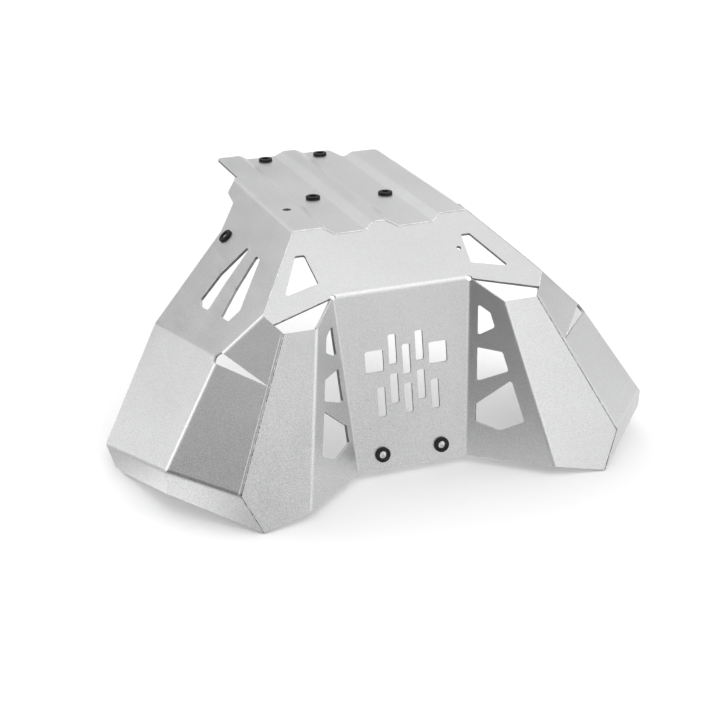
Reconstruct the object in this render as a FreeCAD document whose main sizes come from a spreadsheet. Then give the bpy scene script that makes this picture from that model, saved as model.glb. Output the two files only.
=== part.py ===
import FreeCAD, Part
import math
import os
import Sketcher
from FreeCAD import Vector

# Motorcycle skid plate, resting upside down on its two wing tips and the two rear lip corners.
# X runs across the machine, Y from the front of the plate to the rear, Z up from the floor.
# Sizes across and back start at the wing tips, in the middle of the front shield.
# A height is measured up from the floor, and a drop down from the belly.
# The finished plate stands on the floor, with the origin under the middle of its outline.
# Folded aluminium sheets meet in mitred seams: the shell and the front shield.
# The shell is divided in the middle of its belly folds into the belly and its two sides.

doc = FreeCAD.newDocument("SkidPlate")

SIZES = [
    ("Sheet metal",),
    ("SheetThickness", 3.0),
    ("BendRadius", 5.5),
    ("SeamGap", 0.3),
    ("Belly",),
    ("BellyHeight", 241.0),
    ("BellyHalfWidth", 97.0),
    ("BellyOffset", 8.2),
    ("BellyFoldRear", 400.0),
    ("BellyRear", 490.0),
    ("BellyRearRight", 453.0),
    ("TabInsetLeft", 4.8),
    ("TabInsetRight", 1.5),
    ("TabCornerRadius", 6.0),
    ("TabNotchRadius", 2.0),
    ("TabFlare", 6.5),
    ("GrooveDepth", 5.2),
    ("GrooveOuterTop", 64.4),
    ("GrooveOuterFoot", 54.4),
    ("RibOffset", -2.4),
    ("RibHalfTop", 7.0),
    ("RibHalfFoot", 18.4),
    ("Nose and centre panel",),
    ("NoseFootBack", 100.0),
    ("NoseAngle", 30.3),
    ("NoseLength", 92.7),
    ("CentreLean", 7.8),
    ("CentreHalfTop", 73.9),
    ("CentreHalfFoot", 60.0),
    ("CentreFootHeight", 7.6),
    ("Wings",),
    ("RidgeTopOut", 100.2),
    ("RidgeTopBack", 72.3),
    ("RidgeTopDrop", 67.2),
    ("RidgeFootOut", 131.9),
    ("RidgeFootHeight", 9.3),
    ("SeamTopOut", 136.1),
    ("SeamFootOut", 202.7),
    ("SeamFootBack", 11.1),
    ("SeamFootHeight", 38.3),
    ("WingTipOut", 184.4),
    ("WingTipHeight", 0.6),
    ("GillTopOut", 143.1),
    ("Flanks",),
    ("KneeOutLeft", 196.0),
    ("KneeOutRight", 202.0),
    ("KneeBack", 97.0),
    ("KneeDropLeft", 91.5),
    ("KneeDropRight", 95.8),
    ("HipOutLeft", 261.7),
    ("HipOutRight", 259.7),
    ("HipHeightLeft", 49.6),
    ("HipHeightRight", 51.3),
    ("WaistRearOut", 219.6),
    ("WaistRear", 267.8),
    ("SkirtRear", 221.9),
    ("SkirtRearHeight", 18.7),
    ("LipRearOut", 282.4),
    ("LipRear", 187.0),
    ("LipHeel", 204.5),
    ("LipHeelHeight", 0.6),
    ("LipFrontHeightLeft", 22.6),
    ("LipFrontHeightRight", 30.2),
    ("EarOut", 17.0),
    ("EarRear", 202.0),
    ("NeckOut", 21.3),
    ("NeckRear", 168.4),
    ("ScallopOut", 52.5),
    ("ScallopRear", 136.3),
    ("HaunchOut", 90.9),
    ("HaunchRear", 120.9),
    ("EarRadius", 9.0),
    ("HaunchRadius", 12.0),
    ("Relief cuts",),
    ("KneeHoleRadius", 6.3),
    ("KneeSlitOut", 158.1),
    ("NoseHoleRadius", 3.0),
    ("Windows",),
    ("WindowRadius", 2.4),
    ("SlotWidth", 9.0),
    ("SlotLength", 31.8),
    ("SlotPitch", 14.7),
    ("SlotRowPitch", 41.4),
    ("SlotStagger", 12.3),
    ("SlotTop", 46.8),
    ("SquareWidth", 20.2),
    ("SquareHeight", 23.0),
    ("SquareOut", 34.8),
    ("SquareTop", 61.3),
    ("FoldMargin", 9.0),
    ("RidgeMargin", 17.7),
    ("LowerWindowTipOut", 36.0),
    ("Stations of the windows, as shares of the inner fold's length",),
    ("UpperWindowFoldStart", 0.139),
    ("UpperWindowRidgeStart", 0.184),
    ("UpperWindowRidgeEnd", 0.263),
    ("UpperWindowFoldEnd", 0.319),
    ("MiddleWindowFoldStart", 0.381),
    ("MiddleWindowRidgeStart", 0.397),
    ("MiddleWindowRidgeEnd", 0.502),
    ("MiddleWindowFoldEnd", 0.575),
    ("LowerWindowFoldStart", 0.704),
    ("LowerWindowRidgeStart", 0.55),
    ("LowerWindowRidgeEnd", 0.778),
    ("LowerWindowFoldEnd", 0.804),
    ("LowerWindowTip", 0.84),
    ("Nose and flank windows",),
    ("NoseWindowTop", 33.3),
    ("NoseWindowInner", 86.0),
    ("NoseWindowWidth", 10.0),
    ("NoseWindowInnerFootOut", 82.9),
    ("NoseWindowInnerFoot", 73.0),
    ("NoseWindowOuterFootOut", 122.2),
    ("NoseWindowOuterFoot", 84.7),
    ("RearKiteTop", 45.0),
    ("RearKiteTopFront", 47.5),
    ("RearKiteTopRear", 54.6),
    ("RearKiteWaistRear", 56.4),
    ("RearKiteWaistDown", 84.0),
    ("RearKiteHeelRear", 46.4),
    ("RearKiteHeelDown", 117.5),
    ("RearKiteFootRear", 34.0),
    ("RearKiteFootDown", 122.4),
    ("RearKiteToeRear", 12.8),
    ("RearKiteToeDown", 118.8),
    ("RearKiteShinRear", 29.0),
    ("RearKiteShinDown", 88.0),
    ("FrontKiteTop", 44.0),
    ("FrontKiteTopFront", 9.4),
    ("FrontKiteTopRear", 22.8),
    ("FrontKiteNoseAhead", 43.4),
    ("FrontKiteNoseDown", 94.0),
    ("FrontKiteToeAhead", 42.4),
    ("FrontKiteToeDown", 110.2),
    ("FrontKiteHeelAhead", 20.6),
    ("FrontKiteHeelDown", 113.2),
    ("FrontKiteWaistRear", 1.0),
    ("FrontKiteWaistDown", 83.3),
    ("Holes and rubber mounts",),
    ("MountHole", 11.6),
    ("FlangeDiameter", 16.0),
    ("FlangeHeight", 3.0),
    ("FlangeRound", 0.9),
    ("SleeveRound", 0.3),
    ("InnerFlangeHeight", 2.4),
    ("SleeveRecess", 2.2),
    ("SleeveDiameter", 8.0),
    ("SleeveBore", 6.4),
    ("FitClearance", 0.15),
    ("SpareHole", 9.5),
    ("SpareHoleOut", 79.1),
    ("SpareHoleBack", 256.0),
    ("CableHole", 5.0),
    ("CableHoleOut", 77.3),
    ("CableHoleDown", 51.3),
    ("FrontLeftOut", 34.8),
    ("FrontLeftBack", 301.3),
    ("FrontRightOut", 44.4),
    ("FrontRightBack", 285.6),
    ("RearLeftOut", 37.0),
    ("RearLeftInset", 15.9),
    ("RearRightOut", 31.0),
    ("RearRightInset", 16.9),
    ("CentreMountOut", 32.6),
    ("CentreMountRise", 16.3),
    ("FlankLeftBack", 115.3),
    ("FlankLeftOut", 53.0),
    ("FlankRightBack", 58.0),
    ("FlankRightOut", 28.0),
    ("Welds",),
    ("WeldRadius", 2.2),
    ("WeldEndClearance", 5.0),
]


def fill_sheet():
    """Writes every driving size with its alias; a heading is a row with one word group."""
    sheet = doc.addObject("Spreadsheet::Sheet", "Sizes")
    for row, entry in enumerate(SIZES, start=1):
        sheet.set("A%d" % row, entry[0])
        if len(entry) > 1:
            sheet.set("B%d" % row, str(entry[1]))
            sheet.setAlias("B%d" % row, entry[0])
    doc.recompute()
    return sheet


table = fill_sheet()


def size(alias):
    """Value of one driving size."""
    return float(getattr(table, alias))


THICK = size("SheetThickness")
BEND = size("BendRadius")
GAP = size("SeamGap")
HEIGHT = size("BellyHeight")
CENTRE_X = size("BellyOffset")
OVERRUN = 20.0
FAR = 900.0
NEAR = 0.01
LEFT, RIGHT = -1, 1
SIDES = ((LEFT, "left"), (RIGHT, "right"))
INSIDE = Vector(0, size("WaistRear"), HEIGHT / 2)
UP = Vector(0, 0, 1)


class Plane:
    """An oriented plane: unit normal and distance from the origin along it."""

    def __init__(self, normal, point):
        self.normal = Vector(normal)
        self.normal.normalize()
        self.distance = self.normal.dot(point)

    def shifted(self, amount):
        return Plane(self.normal, self.normal * (self.distance + amount))

    def drop(self, axis, point):
        """Point moved along one axis until it lies in the plane."""
        moved = Vector(point)
        setattr(moved, axis, 0)
        share = self.distance - self.normal.dot(moved)
        setattr(moved, axis, share / getattr(self.normal, axis))
        return moved


def plane_through(first, second, third):
    """Plane through three points, its normal pointing away from the inside of the shell."""
    normal = (second - first).cross(third - first)
    if normal.dot(INSIDE - first) > 0:
        normal = normal * -1
    return Plane(normal, first)


def meet(one, two, three):
    """Point common to three planes."""
    whole = one.normal.dot(two.normal.cross(three.normal))
    total = two.normal.cross(three.normal) * one.distance
    total += three.normal.cross(one.normal) * two.distance
    total += one.normal.cross(two.normal) * three.distance
    return total * (1 / whole)


def along(start, end, name, value):
    """Point of the line start-end at which one coordinate has the given value."""
    first, last = getattr(start, name), getattr(end, name)
    return start + (end - start) * ((value - first) / (last - first))


def unit(vector):
    copy = Vector(vector)
    copy.normalize()
    return copy


# Corner points and panel planes of the outer surface


def across(side, out, back, height):
    return Vector(side * out, back, height)


def nose_planes():
    """Belly, nose and centre panel planes, and points of the lines where they fold."""
    nose_angle = math.radians(size("NoseAngle"))
    lean = math.radians(size("CentreLean"))
    rise = size("NoseLength") * math.sin(nose_angle)
    run = size("NoseLength") * math.cos(nose_angle)
    fold_line = Vector(0, size("NoseFootBack"), HEIGHT - rise)
    top_line = Vector(0, size("NoseFootBack") + run, HEIGHT)
    planes = {
        "belly": Plane(UP, top_line),
        "nose": Plane(Vector(0, -math.sin(nose_angle), math.cos(nose_angle)), top_line),
        "centre": Plane(Vector(0, -math.cos(lean), math.sin(lean)), fold_line),
    }
    return planes, top_line, fold_line


def side_skeleton(side):
    """Corner points and planes of one half of the plate."""
    planes, top_line, fold_line = nose_planes()
    corner = {}
    edge = CENTRE_X + side * size("BellyHalfWidth")
    corner["belly_front"] = Vector(edge, top_line.y, HEIGHT)
    corner["belly_rear"] = Vector(edge, size("BellyFoldRear"), HEIGHT)
    corner["nose_foot"] = Vector(side * size("CentreHalfTop"), fold_line.y, fold_line.z)
    foot = across(side, size("CentreHalfFoot"), 0, size("CentreFootHeight"))
    corner["centre_foot"] = planes["centre"].drop("y", foot)

    ridge_height = HEIGHT - size("RidgeTopDrop")
    ridge_top = across(side, size("RidgeTopOut"), size("RidgeTopBack"), ridge_height)
    planes["inner"] = plane_through(corner["nose_foot"], corner["centre_foot"], ridge_top)
    ridge_foot = across(side, size("RidgeFootOut"), 0, size("RidgeFootHeight"))
    corner["ridge_top"] = ridge_top
    corner["ridge_foot"] = planes["inner"].drop("y", ridge_foot)
    seam_foot = across(side, size("SeamFootOut"), size("SeamFootBack"), size("SeamFootHeight"))
    corner["seam_foot"] = seam_foot
    planes["wing"] = plane_through(ridge_top, corner["ridge_foot"], seam_foot)
    seam_station = Plane(Vector(1, 0, 0), across(side, size("SeamTopOut"), 0, 0))
    corner["seam_top"] = meet(planes["wing"], planes["nose"], seam_station)
    wing_tip = across(side, size("WingTipOut"), 0, size("WingTipHeight"))
    corner["wing_tip"] = planes["wing"].drop("y", wing_tip)

    hand = "Left" if side == LEFT else "Right"
    knee_height = HEIGHT - size("KneeDrop" + hand)
    knee = across(side, size("KneeOut" + hand), size("KneeBack"), knee_height)
    corner["knee"] = knee
    planes["flank"] = plane_through(corner["belly_front"], corner["belly_rear"], knee)
    planes["cheek"] = plane_through(corner["seam_top"], seam_foot, knee)
    corner["shoulder"] = meet(planes["nose"], planes["flank"], planes["cheek"])
    gill_top = side * size("GillTopOut")
    corner["gill_top"] = along(corner["shoulder"], corner["seam_top"], "x", gill_top)
    hip = across(side, size("HipOut" + hand), 0, size("HipHeight" + hand))
    hip = planes["cheek"].drop("y", hip)
    corner["hip"] = hip
    waist = across(side, size("WaistRearOut"), size("WaistRear"), 0)
    corner["waist_rear"] = planes["flank"].drop("z", waist)
    planes["skirt"] = plane_through(corner["waist_rear"], knee, hip)
    skirt_rear = Vector(0, size("SkirtRear"), size("SkirtRearHeight"))
    corner["skirt_rear"] = planes["skirt"].drop("x", skirt_rear)
    corner["lip_rear"] = across(side, size("LipRearOut"), size("LipRear"), 0)
    planes["lip"] = plane_through(corner["skirt_rear"], hip, corner["lip_rear"])
    planes["chin"] = plane_through(hip, seam_foot, corner["wing_tip"])
    lip_heel = Vector(0, size("LipHeel"), size("LipHeelHeight"))
    corner["lip_heel"] = planes["lip"].drop("x", lip_heel)
    lip_level = Plane(UP, Vector(0, 0, size("LipFrontHeight" + hand)))
    corner["lip_front"] = meet(planes["lip"], planes["chin"], lip_level)
    return corner, planes


SKELETON = {side: side_skeleton(side) for side, _ in SIDES}


def groove_lines():
    """Stations of the belly's folds from left to right, as (x, sunk or raised)."""
    rib = CENTRE_X + size("RibOffset")
    return [
        (CENTRE_X - size("GrooveOuterTop"), "raised"),
        (CENTRE_X - size("GrooveOuterFoot"), "sunk"),
        (rib - size("RibHalfFoot"), "sunk"),
        (rib - size("RibHalfTop"), "raised"),
        (rib + size("RibHalfTop"), "raised"),
        (rib + size("RibHalfFoot"), "sunk"),
        (CENTRE_X + size("GrooveOuterFoot"), "sunk"),
        (CENTRE_X + size("GrooveOuterTop"), "raised"),
    ]


def belly_line(station, back):
    """Point of a belly fold at the given distance back."""
    x, level = station
    height = HEIGHT if level == "raised" else HEIGHT - size("GrooveDepth")
    return Vector(x, back, height)


def belly_nose_point(station):
    """Point where a belly fold meets the nose plane."""
    planes = SKELETON[RIGHT][1]
    return planes["nose"].drop("y", belly_line(station, 0))


# Folded panels: a slab trimmed at its tangent lines, and half of each of its bends


class Edge:
    """One side of a panel, from its corner to the next, with the panel it folds or seams to."""

    def __init__(self, corner, kind, neighbour=None):
        self.corner = corner
        self.kind = kind
        self.neighbour = neighbour


def facing_away(plane, point):
    """The same plane with its normal pointing away from a point."""
    if plane.normal.dot(point) > plane.distance:
        return Plane(plane.normal * -1, plane.normal * plane.distance)
    return plane


def block_beyond(plane, point):
    """Large block on the side of a plane that is away from a point near it."""
    cut = facing_away(plane, point)
    origin = point + cut.normal * (cut.distance - cut.normal.dot(point))
    block = Part.makeBox(2 * FAR, 2 * FAR, FAR, Vector(-FAR, -FAR, 0))
    block.Placement = FreeCAD.Placement(origin, FreeCAD.Rotation(UP, cut.normal))
    return block


def half_bend(start, end, normal, outward, angle):
    """Half of a bend, from its tangent line to the plane that halves the fold."""
    ridge = angle > 0
    turn = abs(angle) / 2
    near = BEND + THICK if ridge else BEND
    other = BEND if ridge else BEND + THICK
    rise = normal if ridge else normal * -1
    axis = -outward * (near * math.tan(turn)) - rise * near

    def ray(share):
        spoke = turn * share
        return rise * math.cos(spoke) + outward * math.sin(spoke)

    run = unit(end - start)
    origin = start - run * OVERRUN + axis
    near_arc = Part.Arc(*[origin + ray(share) * near for share in (0, 0.5, 1)]).toShape()
    other_arc = Part.Arc(*[origin + ray(share) * other for share in (1, 0.5, 0)]).toShape()
    across_end = Part.makeLine(origin + ray(1) * near, origin + ray(1) * other)
    across_start = Part.makeLine(origin + ray(0) * other, origin + ray(0) * near)
    section = Part.Wire([near_arc, across_end, other_arc, across_start])
    return Part.Face(section).extrude(run * ((end - start).Length + 2 * OVERRUN))


def side_plane(edge, plane, start, run, outward, gap):
    """Plane that trims the slab at one edge, and the fold angle there (0 without a fold)."""
    if edge.kind == "free":
        return Plane(outward, start), 0.0
    if edge.kind == "seam":
        halving = run.cross(plane.normal + edge.neighbour.normal)
        if halving.dot(outward) < 0:
            halving = halving * -1
        return Plane(halving, start).shifted(-gap), 0.0
    other = edge.neighbour.normal
    angle = math.copysign(plane.normal.getAngle(other), other.dot(outward))
    reach = BEND + THICK if angle > 0 else BEND
    return Plane(outward, start).shifted(-reach * math.tan(abs(angle) / 2)), angle


def slab_between(plane, sides):
    """Solid of sheet thickness under a plane, bounded by side planes in order."""
    inner = plane.shifted(-THICK)
    count = len(sides)
    outer_corners = [meet(plane, sides[index - 1], sides[index]) for index in range(count)]
    inner_corners = [meet(inner, sides[index - 1], sides[index]) for index in range(count)]
    rings = [outer_corners, inner_corners]
    for index in range(count):
        after = (index + 1) % count
        rings.append([outer_corners[index], outer_corners[after],
                      inner_corners[after], inner_corners[index]])
    faces = [Part.Face(Part.makePolygon(ring + [ring[0]])) for ring in rings]
    slab = Part.Solid(Part.makeShell(faces))
    if slab.Volume < 0:
        slab.reverse()
    return slab


def panel(plane, edges, gap=0.0):
    """Solids of one flat panel and its half bends; seams stand back by the gap."""
    count = len(edges)
    corners = [edge.corner for edge in edges]
    runs = [unit(corners[(index + 1) % count] - corners[index]) for index in range(count)]
    turns = [runs[index - 1].cross(runs[index]).dot(plane.normal) for index in range(count)]
    winding = sum((corners[index] - corners[0]).cross(corners[(index + 1) % count] - corners[0])
                  .dot(plane.normal) for index in range(count))
    way = math.copysign(1, winding)
    outward = [unit(run.cross(plane.normal) * way) for run in runs]
    trims = [side_plane(edges[index], plane, corners[index], runs[index], outward[index], gap)
             for index in range(count)]

    sides, ends = [], []
    for index in range(count):
        (before, angle_before), (here, angle_here) = trims[index - 1], trims[index]
        hollow = turns[index] * way < 0
        if angle_before and angle_here:
            across_corner = unit(runs[index] - runs[index - 1]).cross(plane.normal)
            ends.append(Plane(across_corner, meet(plane, before, here)))
        elif hollow and (angle_before or angle_here):
            run = runs[index] if angle_here else runs[index - 1]
            ends.append(Plane(run, corners[index]))
            sides.append(ends[-1])
        else:
            ends.append(before if angle_here else here)
        sides.append(here)

    pieces = [slab_between(plane, sides)]
    for index in range(count):
        angle = trims[index][1]
        if not angle:
            continue
        start, end = corners[index], corners[(index + 1) % count]
        bend = half_bend(start, end, plane.normal, outward[index], angle)
        for trim in (ends[index], ends[(index + 1) % count]):
            bend = bend.cut(block_beyond(trim, (start + end) * 0.5))
        pieces += bend.Solids
    return pieces


def joined(pieces, reliefs):
    """One sheet from its panels and bends, with its relief holes."""
    if reliefs:
        pieces = [piece.cut(reliefs) for piece in pieces]
    solids = [solid for piece in pieces for solid in piece.Solids]
    return solids[0].fuse(solids[1:]).removeSplitter()


def fold(corner, neighbour):
    return Edge(corner, "fold", neighbour)


def seam(corner, neighbour):
    return Edge(corner, "seam", neighbour)


def free(corner):
    return Edge(corner, "free")


def facet_planes(stations):
    """Planes of the belly's facets between its outer strips, from left to right."""
    result = []
    for one, two in zip(stations, stations[1:]):
        first, second = belly_line(one, 0), belly_line(two, 0)
        result.append(Plane((second - first).cross(Vector(0, 1, 0)) * -1, first))
    for plane in result:
        if plane.normal.z < 0:
            plane.normal, plane.distance = plane.normal * -1, -plane.distance
    return result


def belly_panels():
    """The corrugated belly: two raised strips, two grooves and the rib between them."""
    stations = groove_lines()
    strips = facet_planes(stations)
    raised = SKELETON[RIGHT][1]["belly"]
    nose = SKELETON[RIGHT][1]["nose"]
    planes = [raised] + strips + [raised]
    back = size("BellyRear") + OVERRUN
    pieces = []
    for side, inset, station, next_plane in (
            (LEFT, size("TabInsetLeft"), stations[0], strips[0]),
            (RIGHT, size("TabInsetRight"), stations[-1], strips[-1])):
        corner, plane = SKELETON[side]
        blank_edge = corner["belly_rear"] - Vector(side * inset / 2, 0, 0)
        pieces += panel(raised, [
            fold(corner["belly_front"], plane["flank"]),
            free(corner["belly_rear"]),
            free(blank_edge),
            free(Vector(blank_edge.x, back, HEIGHT)),
            fold(belly_line(station, back), next_plane),
            seam(belly_nose_point(station), nose),
        ])
    for index in range(len(stations) - 1):
        one, two = stations[index], stations[index + 1]
        pieces += panel(planes[index + 1], [
            fold(belly_nose_point(one), planes[index]),
            free(belly_line(one, back)),
            fold(belly_line(two, back), planes[index + 2]),
            seam(belly_nose_point(two), nose),
        ])
    return pieces


def flank_panels(side):
    """Flank, skirt, cheek, lip and chin of one side."""
    corner, plane = SKELETON[side]
    flank = panel(plane["flank"], [
        fold(corner["belly_front"], plane["belly"]),
        free(corner["belly_rear"]),
        fold(corner["waist_rear"], plane["skirt"]),
        fold(corner["knee"], plane["cheek"]),
        seam(corner["shoulder"], plane["nose"]),
    ])
    waste = flank_waste(side)
    pieces = [piece.cut(waste) for piece in flank]
    pieces += panel(plane["skirt"], [
        fold(corner["waist_rear"], plane["flank"]),
        fold(corner["knee"], plane["cheek"]),
        fold(corner["hip"], plane["lip"]),
        free(corner["skirt_rear"]),
    ])
    pieces += panel(plane["cheek"], [
        fold(corner["shoulder"], plane["flank"]),
        fold(corner["knee"], plane["skirt"]),
        fold(corner["hip"], plane["chin"]),
        seam(corner["seam_foot"], plane["wing"]),
        seam(corner["seam_top"], plane["nose"]),
    ])
    pieces += panel(plane["lip"], [
        fold(corner["skirt_rear"], plane["skirt"]),
        seam(corner["hip"], plane["chin"]),
        free(corner["lip_front"]),
        free(corner["lip_rear"]),
        free(corner["lip_heel"]),
    ], GAP / 2)
    pieces += panel(plane["chin"], [
        fold(corner["hip"], plane["cheek"]),
        seam(corner["seam_foot"], plane["wing"]),
        free(corner["wing_tip"]),
        seam(corner["lip_front"], plane["lip"]),
    ], GAP / 2)
    return pieces


def shield_panels():
    """Nose, centre panel, inner wings and front wings of the front shield."""
    stations = groove_lines()
    planes = SKELETON[RIGHT][1]
    strips = [planes["belly"]] + facet_planes(stations) + [planes["belly"]]
    left, left_plane = SKELETON[LEFT]
    right, right_plane = SKELETON[RIGHT]
    outline = [seam(left["belly_front"], strips[0])]
    for station, strip in zip(stations, strips[1:]):
        outline.append(seam(belly_nose_point(station), strip))
    outline += [
        seam(right["belly_front"], right_plane["flank"]),
        seam(right["shoulder"], right_plane["cheek"]),
        free(right["gill_top"]),
        fold(right["nose_foot"], planes["centre"]),
        free(left["nose_foot"]),
        seam(left["gill_top"], left_plane["cheek"]),
        seam(left["shoulder"], left_plane["flank"]),
    ]
    pieces = panel(planes["nose"], outline, GAP)
    pieces += panel(planes["centre"], [
        fold(left["nose_foot"], planes["nose"]),
        fold(right["nose_foot"], right_plane["inner"]),
        free(right["centre_foot"]),
        fold(left["centre_foot"], left_plane["inner"]),
    ])
    for side, _ in SIDES:
        corner, plane = SKELETON[side]
        pieces += panel(plane["inner"], [
            fold(corner["centre_foot"], plane["centre"]),
            free(corner["nose_foot"]),
            fold(corner["ridge_top"], plane["wing"]),
            free(corner["ridge_foot"]),
        ])
        pieces += panel(plane["wing"], [
            fold(corner["ridge_foot"], plane["inner"]),
            free(corner["ridge_top"]),
            seam(corner["seam_top"], plane["cheek"]),
            seam(corner["seam_foot"], plane["chin"]),
            free(corner["wing_tip"]),
        ], GAP)
    return pieces


# Cutters: outlines with rounded corners, drawn on a panel and pushed through it


def rounded_face(points, radii):
    """Face inside a closed outline; each corner has its own radius, 0 for a sharp one."""
    count = len(points)
    ends = []
    for index, radius in enumerate(radii):
        here = points[index]
        back = unit(points[index - 1] - here)
        ahead = unit(points[(index + 1) % count] - here)
        half = back.getAngle(ahead) / 2
        leg = radius / math.tan(half)
        middle = here + unit(back + ahead) * (radius / math.sin(half) - radius)
        ends.append((here + back * leg, middle, here + ahead * leg))
    edges = []
    for index, radius in enumerate(radii):
        start, middle, end = ends[index]
        if radius:
            edges.append(Part.Arc(start, middle, end).toShape())
        edges.append(Part.makeLine(end, ends[(index + 1) % count][0]))
    return Part.Face(Part.Wire(edges))


def push_through(face, normal, depth=0.0):
    """Cutter through the sheet, with room to spare on both faces."""
    moved = face.copy()
    moved.translate(normal * BEND)
    return moved.extrude(normal * -(2 * BEND + THICK + depth))


def window(origin, first, second, normal, outline, radius):
    """Cutter for an outline given in a panel's own two directions."""
    points = [origin + first * u + second * v for u, v in outline]
    return push_through(rounded_face(points, [radius] * len(points)), normal)


def drill(point, normal, diameter):
    reach = 2 * (THICK + BEND)
    return Part.makeCylinder(diameter / 2, 2 * reach, point - normal * reach, normal)


def centre_frame():
    """Origin, directions and normal of the centre panel: across, and down from its fold."""
    planes, top_line, fold_line = nose_planes()
    normal = planes["centre"].normal
    return fold_line, Vector(1, 0, 0), unit(Vector(1, 0, 0).cross(normal)), normal


def nose_frame():
    """Origin, directions and normal of the nose: across, and down from its top edge."""
    planes, top_line, fold_line = nose_planes()
    normal = planes["nose"].normal
    return top_line, Vector(1, 0, 0), unit(Vector(1, 0, 0).cross(normal)), normal


def flank_frame(side):
    """Origin, directions and normal of a flank: back along its fold, and down from it."""
    corner, plane = SKELETON[side]
    normal = plane["flank"].normal
    back = Vector(0, 1, 0)
    down = unit(back.cross(normal))
    if down.z > 0:
        down = down * -1
    return corner["belly_front"], back, down, normal


def inner_frame(side):
    """Origin, directions and normal of an inner wing: down its fold, and out from it."""
    corner, plane = SKELETON[side]
    normal = plane["inner"].normal
    down = unit(corner["centre_foot"] - corner["nose_foot"])
    out = unit(down.cross(normal))
    if out.x * side < 0:
        out = out * -1
    return corner["nose_foot"], down, out, normal


def box_outline(middle, top, width, height):
    half = width / 2
    return [(middle - half, top), (middle + half, top),
            (middle + half, top + height), (middle - half, top + height)]


def centre_cutters():
    """Two rows of staggered slots, with a square window on either side of the upper row."""
    frame = centre_frame()
    radius = size("WindowRadius")
    cutters = []
    for row, columns in ((0, (-1, 0, 1)), (1, (-2, -1, 0, 1, 2))):
        for column in columns:
            top = size("SlotTop") + row * size("SlotRowPitch")
            if column % 2 == 0:
                top += size("SlotStagger")
            middle = column * size("SlotPitch")
            outline = box_outline(middle, top, size("SlotWidth"), size("SlotLength"))
            cutters.append(window(*frame, outline, radius))
    for side, _ in SIDES:
        outline = box_outline(side * size("SquareOut"), size("SquareTop"),
                              size("SquareWidth"), size("SquareHeight"))
        cutters.append(window(*frame, outline, radius))
    return cutters


def inner_cutters(side):
    """Three windows between the fold and the ridge, parted by slanting struts."""
    origin, down, out, normal = inner_frame(side)
    corner = SKELETON[side][0]

    def ridge_at(station):
        """Distance from the fold to the windows' outer line, which follows the ridge."""
        top, foot = corner["ridge_top"] - origin, corner["ridge_foot"] - origin
        slope = (foot.dot(out) - top.dot(out)) / (foot.dot(down) - top.dot(down))
        ridge = top.dot(out) + slope * (station - top.dot(down))
        return ridge - size("RidgeMargin") * math.hypot(1, slope)

    margin = size("FoldMargin")
    length = (corner["centre_foot"] - origin).Length
    outlines = []
    for name in ("UpperWindow", "MiddleWindow", "LowerWindow"):
        stations = [length * size(name + place) for place in ("RidgeStart", "RidgeEnd")]
        outline = [(length * size(name + "FoldStart"), margin)]
        outline += [(station, ridge_at(station)) for station in stations]
        outline.append((length * size(name + "FoldEnd"), margin))
        outlines.append(outline)
    outlines[-1].insert(3, (length * size("LowerWindowTip"), size("LowerWindowTipOut")))
    radius = size("WindowRadius")
    return [window(origin, down, out, normal, outline, radius) for outline in outlines]


def nose_cutter(side):
    """Four-sided window in the nose that widens towards the shoulder."""
    origin, across_nose, down, normal = nose_frame()
    top = size("NoseWindowTop")
    inner = size("NoseWindowInner")
    outline = [
        (inner, top),
        (inner + size("NoseWindowWidth"), top),
        (size("NoseWindowOuterFootOut"), size("NoseWindowOuterFoot")),
        (size("NoseWindowInnerFootOut"), size("NoseWindowInnerFoot")),
    ]
    return window(origin, across_nose * side, down, normal, outline, size("WindowRadius"))


def flank_cutters(side):
    """Two slender kite windows in a flank."""
    frame = flank_frame(side)
    radius = size("WindowRadius")
    rear_kite = [
        (size("RearKiteTopFront"), size("RearKiteTop")),
        (size("RearKiteTopRear"), size("RearKiteTop")),
        (size("RearKiteWaistRear"), size("RearKiteWaistDown")),
        (size("RearKiteHeelRear"), size("RearKiteHeelDown")),
        (size("RearKiteFootRear"), size("RearKiteFootDown")),
        (size("RearKiteToeRear"), size("RearKiteToeDown")),
        (size("RearKiteShinRear"), size("RearKiteShinDown")),
    ]
    front_kite = [
        (size("FrontKiteTopRear"), size("FrontKiteTop")),
        (size("FrontKiteTopFront"), size("FrontKiteTop")),
        (-size("FrontKiteNoseAhead"), size("FrontKiteNoseDown")),
        (-size("FrontKiteToeAhead"), size("FrontKiteToeDown")),
        (-size("FrontKiteHeelAhead"), size("FrontKiteHeelDown")),
        (size("FrontKiteWaistRear"), size("FrontKiteWaistDown")),
    ]
    return [window(*frame, outline, radius) for outline in (rear_kite, front_kite)]


def flank_waste(side):
    """Waste behind a flank's scalloped rear edge, from the belly fold down to the waist."""
    corner = SKELETON[side][0]
    origin, back, down, normal = flank_frame(side)
    fold_end = (corner["belly_rear"] - origin).dot(back)
    waist = corner["waist_rear"] - origin
    waist_back, waist_down = waist.dot(back), waist.dot(down)
    ear, haunch = size("EarRadius"), size("HaunchRadius")
    outline = [
        (fold_end, -BEND, 0),
        (size("EarRear"), size("EarOut"), ear),
        (size("NeckRear"), size("NeckOut"), ear),
        (size("ScallopRear"), size("ScallopOut"), haunch),
        (size("HaunchRear"), size("HaunchOut"), haunch),
        (waist_back, waist_down, 0),
        (waist_back + OVERRUN, waist_down + OVERRUN, 0),
        (fold_end + OVERRUN, waist_down, 0),
        (fold_end + OVERRUN, -BEND, 0),
    ]
    points = [origin + back * u + down * v for u, v, radius in outline]
    return push_through(rounded_face(points, [radius for u, v, radius in outline]), normal)


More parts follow.
